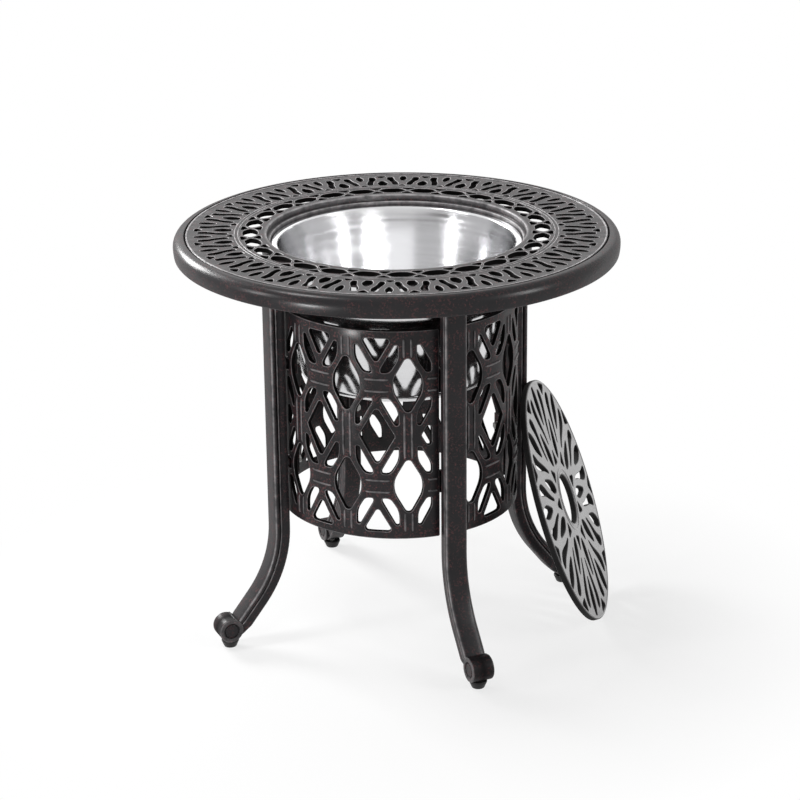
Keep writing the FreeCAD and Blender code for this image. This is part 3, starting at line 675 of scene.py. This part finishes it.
# legs: stepped section carried down the outer line, scroll foot, flange and skirt bosses
# draw is the share of width at drawAt before the scroll's middle, boss is (radius, inner end, outer end)
legSet = {
    "face": 169.8, "depth": 20.3, "top": 475.2, "bendAt": 148.0, "bendRadius": 135.0, "bend": 38.4,
    "scroll": (230.0, 25.0), "scrollRadius": 15.0, "heel": 20.0, "overrun": 6.0,
    "drawAt": (-17, -11), "draw": (1.0, 0.84),
    "bead": (27.2, 4.2, 4.2), "beadEdge": 1.9, "beadBack": 13.2, "beadOut": 3.2,
    "flange": (25.1, 67.8, 7.9), "flangeEdge": 0.9, "flangeAt": 157.15,
    "boss": (7.0, 145.65, 150.5), "bossEdge": 0.6, "bossSegments": 32, "bossHeights": (230.2, 356.4),
    "scrollEye": 9.5, "scrollRim": 13, "scrollSegments": 56,
    "scrollCorners": (0, 1, 0.8, 0.4, 0.4, 0.8, 1.8, 1.0, 0),
    "scrollWearAndPaintedLight": ((11.8, 13.1, 14.5, 14.9), (-0.6, 0.0, 0.5, 0.1)),
}
# half of the section from the face to the back, as (sideways, inwards), and its wear and painted light:
# corners and bead painted bright as wear and painted highlight, the groove between them painted shade
legSide = [(0.0, 0.0), (5.5, 0.06), (9.9, 0.3), (11.7, 0.62), (12.9, 1.25), (13.6, 2.2), (13.8, 3.2),
           (13.8, 4.6), (13.6, 5.3), (12.9, 5.8), (12.1, 6.2), (11.9, 6.8), (12.1, 7.3), (12.7, 7.7),
           (13.0, 8.3), (12.8, 8.9), (12.3, 9.4), (12.2, 10.2), (12.2, 14.0), (12.2, 17.4), (12.0, 18.6),
           (11.4, 19.5), (10.4, 20.1), (8.8, 20.3), (0.0, 20.3)]
legWearAndPaintedLight = [0, 0, 0, 0.15, 0.95, 0.5, 0.05, 0, 0.1, 0, -0.4, -0.7, -0.3, 0.3, 0.9, 0.3, 0, 0, 0, 0, 0.1,
           0.4, 0.1, 0, 0]
# half of the scroll as (radius, distance from its middle plane): eye, groove, rim, tread
scrollSide = [(0, 13.0), (6.6, 13.2), (7.8, 13.0), (8.5, 11.9), (9.3, 11.9), (10.0, 13.6), (14.6, 13.8),
              (15.0, 11.8), (15.0, 0)]


def legSection():
    # half section and its mirror image, as one closed outline with its wear and painted light
    side = np.array(legSide)
    back = side[1:-1][::-1] * (-1, 1)
    wear = np.array(legWearAndPaintedLight)
    return np.concatenate([side, back]), np.concatenate([wear, wear[1:-1][::-1]])


def scrollDisc():
    # half profile and its mirror image carried round; the rim is painted bright as wear and painted
    # highlight, the groove painted shade, the eye plain
    s = legSet
    half = roundedPath(scrollSide, s["scrollCorners"], 5)
    profile = np.concatenate([half, half[:-1][::-1] * (1, -1)])
    wear = np.interp(np.abs(profile[:, 1]) + (profile[:, 0] > s["scrollRim"]), *s["scrollWearAndPaintedLight"])
    wear = np.where(profile[:, 0] < s["scrollEye"], 0.0, wear)
    return lathe(profile, s["scrollSegments"], wear, flip=True)


def makeLeg(name, angle):
    # outer line: straight down, an arc, straight along to the scroll; the section hangs inwards from it
    s = legSet
    bend = math.radians(s["bend"])
    bendCentre = np.array([s["face"] + s["bendRadius"], s["bendAt"]])
    downLeg = np.array([math.sin(bend), -math.cos(bend)])
    intoLeg = np.array([-math.cos(bend), -math.sin(bend)])
    scroll = np.array(s["scroll"])
    run = (scroll - bendCentre) @ downLeg
    # heel: arc tangent to the leg's back that runs into the underside of the scroll
    across = s["bendRadius"] + s["depth"] - (scroll - bendCentre) @ intoLeg
    heelRadius = (s["heel"] ** 2 + across ** 2 - s["scrollRadius"] ** 2) / (2 * (across - s["scrollRadius"]))
    z = np.linspace(s["top"], s["bendAt"], 24)[:-1]
    line = [stacked(np.full_like(z, s["face"]), z)]
    into = [np.broadcast_to((-1.0, 0.0), (len(z), 2))]
    t = np.linspace(0, bend, 22)[:-1]
    ray = stacked(-np.cos(t), -np.sin(t))
    line.append(bendCentre + ray * s["bendRadius"])
    into.append(ray)
    d = np.linspace(0, run + s["overrun"], 26)
    line.append(bendCentre + intoLeg * s["bendRadius"] + downLeg * d[:, None])
    into.append(np.broadcast_to(intoLeg, (len(d), 2)))
    line, into = np.concatenate(line), np.concatenate(into)
    past = np.clip(np.concatenate([np.zeros(len(line) - len(d)), d - (run - s["heel"])]), 0, None)
    shrink = 1 - (heelRadius - np.sqrt(heelRadius ** 2 - past ** 2)) / s["depth"]
    section, wear = legSection()
    radial = line[:, None] + into[:, None] * (section[None, :, 1] * shrink[:, None])[..., None]
    # the sides draw in where the leg passes through the scroll
    narrow = np.interp(d - run, s["drawAt"], s["draw"])
    draw = np.concatenate([np.ones(len(line) - len(d)), narrow])
    tangent = section[None, :, 0] * draw[:, None]
    rings = stacked(radial[..., 0], tangent, radial[..., 1])
    shells = [lofted(rings, np.tile(wear, len(rings)), flip=True)]
    # scroll about the tangential axis, with a turned circle in each side
    disc = scrollDisc()
    shells += moved([disc], lambda p: stacked(scroll[0] + p[:, 0], p[:, 2], scroll[1] - p[:, 1]))
    # bead where the leg's face runs into the scroll
    bead = scroll - downLeg * s["beadBack"] - intoLeg * s["beadOut"]
    cap = block(s["bead"], s["beadEdge"])
    shells += moved(cap, lambda p: stacked(bead[0] - p[:, 1], p[:, 0], bead[1] + p[:, 2]))
    # flange under the top and the two bosses that carry the skirt
    flange = block(s["flange"], s["flangeEdge"])
    shells += moved(flange, lambda p: p + (s["flangeAt"], 0, s["top"]))
    radius, start, end = s["boss"]
    side = roundedPath([(0, start), (radius, start), (radius, end), (0, end)], (0, s["bossEdge"], 0, 0), 4)
    stub = lathe(side, s["bossSegments"])
    for height in s["bossHeights"]:
        shells += moved([stub], lambda p: stacked(p[:, 2], p[:, 0], height + p[:, 1]))
    shells = moved(shells, aboutZ(angle))
    putMesh("legShape_" + name, shells, castBronze, "table", "cast_bronze", "leg_" + name)


for legName, legAngle in legAngles.items():
    makeLeg(legName, legAngle)
print("legs made")


# skirt panels: lattice of tall and wide diamonds with slots between, bent round the bucket
# uprights are (height, length), crossings (columns from the middle, length), tongues lie at (along, depth)
skirtSet = {
    "radius": 145.3, "thick": 5.0, "middle": 293.3, "halfArc": 111.72, "halfHeight": 130.2,
    "cell": (37.0, 63.1), "edgeBorder": 10.2, "railBorder": 10.0, "edge": 1.6, "back": 0.8,
    "leastArea": 70.0, "plateCorner": 2.0, "tallCorner": 4.7, "wideCorner": 3.2, "slotCorner": 2.4,
    "fillStep": (4.5, 9.0), "fillBorder": (5, 6), "fillShift": (0.013, 0.017),
    "rib": (1.5, 1.3), "ribEnd": 0.004, "ribNarrow": 0.4, "ribWearAndHighlight": 0.8,
    "uprights": ((0.0, 56.0), (109.0, 23.0), (-109.0, 23.0)), "uprightGap": 4.4,
    "crossings": ((1, 29.0), (2.79, 12.0)), "crossingGap": 7.3,
    "lap": (26.7232, 5.3, 27.8), "lapEdge": 0.8, "lapAt": (119.1, 7.98),
    "root": (9.544, 2.2, 27.8), "rootEdge": 0.6, "rootAt": (106.7, 5.4),
}
tallDiamond = [(0, 37.2), (16.9, 8), (16.9, -8), (0, -37.2), (-16.9, -8), (-16.9, 8)]
wideDiamond = [(0, 36), (21.1, 0), (0, -36), (-21.1, 0)]
latticeSlot = [(5.6, 47.2), (15, 47.2), (25.6, 31), (25.6, 14), (22, 14), (5.6, 43)]


def clipped(polygon, limit, axis):
    # corners within the limit on both sides of the middle, with a new corner where a side crosses it
    for sign in (1.0, -1.0):
        kept = []
        for i, point in enumerate(polygon):
            last = polygon[i - 1]
            inside, before = sign * point[axis] + limit >= 0, sign * last[axis] + limit >= 0
            if inside != before:
                share = (-sign * limit - last[axis]) / (point[axis] - last[axis])
                kept.append(tuple(a + share * (b - a) for a, b in zip(last, point)))
            if inside:
                kept.append(point)
        polygon = kept
    return polygon


def latticeOpenings():
    # diamonds and slots at every other cell, cut off at the borders; what is left too small is closed
    s = skirtSet
    a, b = s["cell"]
    slots = [[(sx * x, sz * z) for x, z in latticeSlot] for sx in (1, -1) for sz in (1, -1)]
    evenCell = [(tallDiamond, s["tallCorner"])]
    oddCell = [(wideDiamond, s["wideCorner"])] + [(slot, s["slotCorner"]) for slot in slots]
    side, rail = s["halfArc"] - s["edgeBorder"], s["halfHeight"] - s["railBorder"]
    loops = []
    for column in range(-3, 4):
        for row in range(-2, 3):
            if (column + row) % 2 == 0:
                continue
            for shape, corner in evenCell if column % 2 == 0 else oddCell:
                p = [(x + column * a, z + row * b) for x, z in shape]
                p = np.array(clipped(clipped(p, side, 0), rail, 1))
                if len(p) < 3:
                    continue
                q = np.roll(p, -1, 0)
                if abs(np.sum(p[:, 0] * q[:, 1] - q[:, 0] * p[:, 1])) / 2 > s["leastArea"]:
                    loops.append(refined(roundedOutline(p, corner)))
    return loops


def ridge(centre, along, length, half, height):
    # low half-round rib on the panel's face: a half ellipse that sinks into the face at both ends
    narrow = skirtSet["ribNarrow"]
    t = np.linspace(-1, 1, 15)
    lift = np.sqrt(np.clip(1 - t ** 6, skirtSet["ribEnd"], 1))
    turn = np.linspace(0, 2 * np.pi, 14, endpoint=False)
    across = half * np.cos(turn)[None] * (narrow + (1 - narrow) * lift[:, None])
    out = height * np.sin(turn)[None] * lift[:, None]
    x = np.broadcast_to(t[:, None] * length / 2, across.shape)
    flat = (x, across) if along == 0 else (-across, x)
    rings = stacked(centre[0] + flat[0], centre[1] + flat[1], -out)
    # the crest facing out is painted bright, partly wear and partly painted highlight
    bright = np.clip(np.sin(np.broadcast_to(turn[None], out.shape)), 0, 1)
    return lofted(rings, bright * skirtSet["ribWearAndHighlight"])


def makePanel():
    # flat pierced plate with its cast lines, bent so that length along the plate is arc on the outer face
    s = skirtSet
    w, h = s["halfArc"], s["halfHeight"]
    a, b = s["cell"]
    outer = refined(roundedOutline([(-w, -h), (w, -h), (w, h), (-w, h)], s["plateCorner"]))
    shells, face, rear = piercedPlate(outer, latticeOpenings(), s["thick"], s["edge"], s["back"])
    # points inside the metal let the flat between the openings follow the bend
    spans = zip((w, h), s["fillBorder"], s["fillStep"])
    gx, gz = np.meshgrid(*(np.arange(-half + rim, half - rim + 1, step) for half, rim, step in spans))
    grid = stacked(gx.ravel(), gz.ravel()) + s["fillShift"]
    shells.append(filled(face, 0.0, grid))
    shells.append(filled(rear, s["thick"], grid, under=True))
    for fill in shells[-2:]:
        fill["smooth"] = True
    for column in (-2, 0, 2):
        for side in (-s["uprightGap"], s["uprightGap"]):
            for height, length in s["uprights"]:
                shells += ridge((column * a + side, height), 1, length, *s["rib"])
    for reach, length in s["crossings"]:
        for column in (-reach, reach):
            for row in (-b, b):
                for side in (-s["crossingGap"], s["crossingGap"]):
                    shells += ridge((column * a, row + side), 0, length, *s["rib"])

    def bent(p):
        turn = p[:, 0] / s["radius"]
        r = s["radius"] - p[:, 2]
        return stacked(r * np.cos(turn), r * np.sin(turn), s["middle"] + p[:, 1])

    shells = moved(shells, bent)
    # tongues behind the far edge: one bar that laps the next panel, one root that joins this one
    for height in (-b, b):
        for tongue in ("lap", "root"):
            along, depth = s[tongue + "At"]
            bar = block(s[tongue], s[tongue + "Edge"])
            bar = moved(bar, lambda p: stacked(p[:, 0] + along, p[:, 2] + height, depth + p[:, 1]))
            shells += moved(bar, bent)
    return shells


panelShells = makePanel()
for panelName, panelAngle in panelAngles.items():
    turned = moved(panelShells, aboutZ(panelAngle))
    putMesh("skirt_" + panelName, turned, skirtBronze, "table", "cast_bronze", "skirt_panel_" + panelName)
print("skirt made")


# ice bucket: thin spun shell, rolled flange on the lower ledge, tapered wall, rounded floor edge
bucketSet = {
    "seat": 487.7, "flange": 149.6, "rim": 142.4, "floorRadius": 118.0, "height": 164.5, "wall": 1.0,
    "curl": 0.9, "corner": 14.0, "neckCorner": 0.6, "throatCorner": 2.4, "throatDraw": 0.2, "segments": 240,
}


def makeBucket():
    # outside from the floor up to the flange, half-round curl, inside back down at one wall's distance
    s = bucketSet
    seat, wall, curl = s["seat"], s["wall"], s["curl"]
    low, tip = seat - s["height"], s["flange"] - curl
    outside = roundedPath([(0, low), (s["floorRadius"], low), (s["rim"], seat), (tip, seat)],
                          (0, s["corner"], s["neckCorner"], 0), 12)
    t = np.linspace(-np.pi / 2, np.pi / 2, 8)
    edge = stacked(tip + curl * np.cos(t), seat + curl + curl * np.sin(t))
    throat, floorEdge = (s["rim"] - s["throatDraw"], seat + wall), (s["floorRadius"] - wall, low + wall)
    inside = roundedPath([edge[-1], throat, floorEdge, (0, low + wall)],
                         (0, s["throatCorner"], s["corner"] - wall, 0), 12)
    profile = np.concatenate([outside, edge[1:], inside[1:]])
    putMesh("iceBucket", [lathe(profile, s["segments"])], stainless, "bucket", "stainless", "ice_bucket")


makeBucket()
print("bucket made")


# lid: pierced disc of petals, leaning with its foot on the floor; beads as (radius, half width, rise)
lidSet = {
    "radius": 153.8, "thick": 7.0, "rim": 3.6, "hole": 31.0, "petals": 9, "phase": 4.4, "corner": 1.6,
    # shine below 0 paints shade on the face edges of the lid's openings
    "edge": 1.5, "back": 0.8, "shine": -0.5,
    "lean": 19.3, "heading": 11.7, "centre": (184.9855, 85.3495, 145.1566),
    "segments": 240, "holeSegments": 96, "beadSegments": 160,
    "beads": ((151.2, 0.9, 0.7), (39.0, 1.0, 0.8), (33.8, 0.9, 0.7)), "beadSink": 0.2, "beadWearAndHighlight": 0.5,
}
tearSlot = [(0.16, 0.506), (0.155, 0.546), (0.18, 0.632), (0.222, 0.732), (0.24, 0.799), (0.232, 0.866),
            (0.224, 0.912), (0.25, 0.939), (0.33, 0.932), (0.38, 0.879), (0.385, 0.826), (0.345, 0.732),
            (0.28, 0.652), (0.235, 0.586), (0.195, 0.519)]
lidMotif = [
    [(0, 0.639), (0.06, 0.732), (0.095, 0.826), (0.08, 0.912), (0.035, 0.985), (-0.035, 0.985),
     (-0.08, 0.912), (-0.095, 0.826), (-0.06, 0.732)],
    tearSlot,
    flippedMotif(tearSlot),
    [(0.37, 0.995), (0.63, 0.995), (0.5, 0.899)],
    [(0.5, 0.712), (0.575, 0.599), (0.65, 0.479), (0.65, 0.426), (0.6, 0.379), (0.5, 0.353),
     (0.4, 0.379), (0.35, 0.426), (0.35, 0.479), (0.425, 0.599)],
    [(0, 0.453), (0.11, 0.373), (0.23, 0.323), (-0.23, 0.323), (-0.11, 0.373)],
]


def makeLid():
    # flat pierced disc with raised beads, then turned so that its face looks up by lean towards heading
    s = lidSet
    holes = bandOpenings(lidMotif, s["petals"], s["phase"], 0.0, s["radius"] - s["rim"], s["corner"])
    holes.append(circle(s["hole"], s["holeSegments"]))
    outer = circle(s["radius"], s["segments"])
    shells, face, rear = piercedPlate(outer, holes, s["thick"], s["edge"], s["back"], s["shine"])
    shells.append(filled(face, 0.0))
    shells.append(filled(rear, s["thick"], under=True))
    for radius, half, rise in s["beads"]:
        bead = raisedRing(radius, half, rise, -s["beadSink"], s["beadSegments"], s["beadWearAndHighlight"])
        bead["points"][:, 2] *= -1
        shells.append(bead)
    lean, heading = math.radians(s["lean"]), math.radians(s["heading"])
    level = math.cos(lean)
    normal = np.array([level * math.cos(heading), level * math.sin(heading), math.sin(lean)])
    along = np.array([-math.sin(heading), math.cos(heading), 0.0])
    axes = np.stack([along, np.cross(normal, along), normal])

    def leaning(p):
        return stacked(p[:, 0], p[:, 1], s["thick"] - p[:, 2]) @ axes + s["centre"]

    putMesh("lidDisc", moved(shells, leaning), lidBronze, "lid", "cast_bronze", "lid")


makeLid()
print("lid made")


# feet: tapered black pads with a blind bore for the stud
padSet = {"height": 9.6, "foot": 7.5, "top": 10.75, "band": 2.0, "bore": 4.05, "boreFloor": 4.1,
          "reach": 228.0, "corners": (0, 1.2, 0.8, 0.9, 0.2, 0, 0), "segments": 48}


def makePad(name, angle):
    # profile from the floor's middle out, up the taper, over the band and down the bore, carried round
    s = padSet
    taper = [(0, 0), (s["foot"], 0), (s["top"], s["height"] - s["band"]), (s["top"], s["height"])]
    bore = [(s["bore"], s["height"]), (s["bore"], s["boreFloor"]), (0, s["boreFloor"])]
    profile = roundedPath(taper + bore, s["corners"], 5)
    x, y = s["reach"] * math.cos(math.radians(angle)), s["reach"] * math.sin(math.radians(angle))
    pad = moved([lathe(profile, s["segments"])], lambda p: p + (x, y, 0))
    putMesh("pad_" + name, pad, blackGlide, "foot_" + name, "black_glide", "foot_pad_" + name)


for legName, legAngle in legAngles.items():
    makePad(legName, legAngle)

fasteners = ["leg_bolts", "leg_washers", "skirt_bolts", "skirt_washers"]
for nodeName in fasteners + ["foot_stud_" + n for n in legAngles]:
    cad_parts[nodeName].data.materials.clear()
    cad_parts[nodeName].data.materials.append(zincSteel)
print("feet and fasteners made")


# studio: pale floor, white surroundings, soft boxes
# fade is where the floor's glow begins and ends, in metres from the middle, and its share at both
studio = {
    "floorTone": 0.86, "floorNoise": 3.0, "floorLift": 1.02, "floorRough": 0.9, "floorDrop": 0.2,
    "floorRings": (0, 300, 600, 1000, 1600), "floorSegments": 128,
    "fade": (0.32, 0.58, 0.72, 1.0), "world": 0.18,
}
# each lamp: place, target, width and height in metres, power
lamps = {
    "topBox": ((-0.9, -0.5, 2.4), (0, 0, 0.4), (0.5, 0.5), 18.0),
    "backBox": ((-0.6, 1.75, 1.5), (0, 0, 0.5), (2.4, 1.2), 8.0),
    "leftBox": ((-1.7, -1.5, 1.1), (0, 0, 0.4), (0.36, 0.8), 14.0),
    "rightBox": ((2.3, -0.1, 1.2), (0, 0, 0.4), (0.35, 0.95), 18.0),
    "sideBox": ((-2.1, 0.75, 1.35), (-0.15, -0.15, 0.5), (0.9, 0.8), 60.0),
    "lowBox": ((-0.55, -1.55, 0.12), (0, -0.26, 0.49), (0.22, 0.1), 10.0),
}


def seenRays(tree):
    # 1 for rays from the camera and for those that metal sends on, 0 for the light on rough surfaces
    path = tree.nodes.new("ShaderNodeLightPath")
    total = path.outputs["Is Camera Ray"]
    for title in ("Is Glossy Ray", "Is Transmission Ray"):
        total = mathNode(tree, "MAXIMUM", total, path.outputs[title])
    return total


def floorMaterial():
    # seen directly or in a mirror, the floor glows towards plain white away from the object
    # what glows takes that share of the painted tone away, so that both together stay at white
    material, tree, shader = newMaterial("paleFloor")
    place = objectPlace(tree)
    noise = noiseNode(tree, place, studio["floorNoise"])
    low = studio["floorTone"]
    high = low * studio["floorLift"]
    tone = colourMix(tree, noise, (low, low, low, 1), (high, high, high, 1))
    away = tree.nodes.new("ShaderNodeVectorMath")
    away.operation = "LENGTH"
    feed(tree, away, {0: place})
    fade = rangeNode(tree, away.outputs["Value"], *studio["fade"])
    glow = mathNode(tree, "MULTIPLY", fade, seenRays(tree))
    tone = colourMix(tree, glow, tone, (0, 0, 0, 1))
    feed(tree, shader, {"Base Color": tone, "Emission Color": glow, "Emission Strength": 1.0,
                        "Roughness": studio["floorRough"], "Specular IOR Level": 0.0})
    return material


def makeFloor():
    # flat disc of rings just below the feet
    profile = [(radius, -studio["floorDrop"]) for radius in studio["floorRings"]]
    floor = weldedPiece("floor", [lathe(profile, studio["floorSegments"], flip=True)], floorMaterial())


def makeWorld():
    # white, at full strength for seen rays and at the stated strength as light
    world = bpy.data.worlds.new("studioWorld")
    bpy.context.scene.world = world
    world.use_nodes = True
    tree = world.node_tree
    strength = rangeNode(tree, seenRays(tree), 0.0, 1.0, studio["world"], 1.0)
    feed(tree, tree.nodes["Background"], {"Color": (1, 1, 1, 1), "Strength": strength})


def softBox(name, place, target, size, power):
    # rectangular lamp whose face looks from place to target
    data = bpy.data.lights.new(name, "AREA")
    data.shape = "RECTANGLE"
    data.size, data.size_y = size
    data.energy = power
    lamp = newObject(name, data)
    lamp.location = place
    lamp.rotation_euler = (Vector(target) - Vector(place)).to_track_quat("-Z", "Y").to_euler()


makeFloor()
makeWorld()
for lampName, lampSettings in lamps.items():
    softBox(lampName, *lampSettings)

# camera as fitted to the photograph: degrees, metres, and millimetres for lens and sensor
cameraSet = {"turn": 21.566, "rise": 20.468, "distance": 3.0987, "height": 0.2849, "lens": 114.175,
             "sensor": 36.0, "shift": 0.002, "roll": -0.618}


def makeCamera():
    # looks at a point above the origin from the stated turn, rise and distance, and rolls about its view
    s = cameraSet
    turn, rise = math.radians(s["turn"]), math.radians(s["rise"])
    target = Vector((0, 0, s["height"]))
    way = Vector((math.sin(turn) * math.cos(rise), -math.cos(turn) * math.cos(rise), math.sin(rise)))
    data = bpy.data.cameras.new("camera")
    data.sensor_width = s["sensor"]
    data.lens = s["lens"]
    data.shift_x = s["shift"]
    camera = newObject("camera", data)
    camera.location = target + way * s["distance"]
    lean = Quaternion((0, 0, 1), math.radians(s["roll"]))
    camera.rotation_euler = ((-way).to_track_quat("-Z", "Y") @ lean).to_euler()
    bpy.context.scene.camera = camera


makeCamera()
bpy.context.scene.view_settings.view_transform = "Standard"
print("studio made")
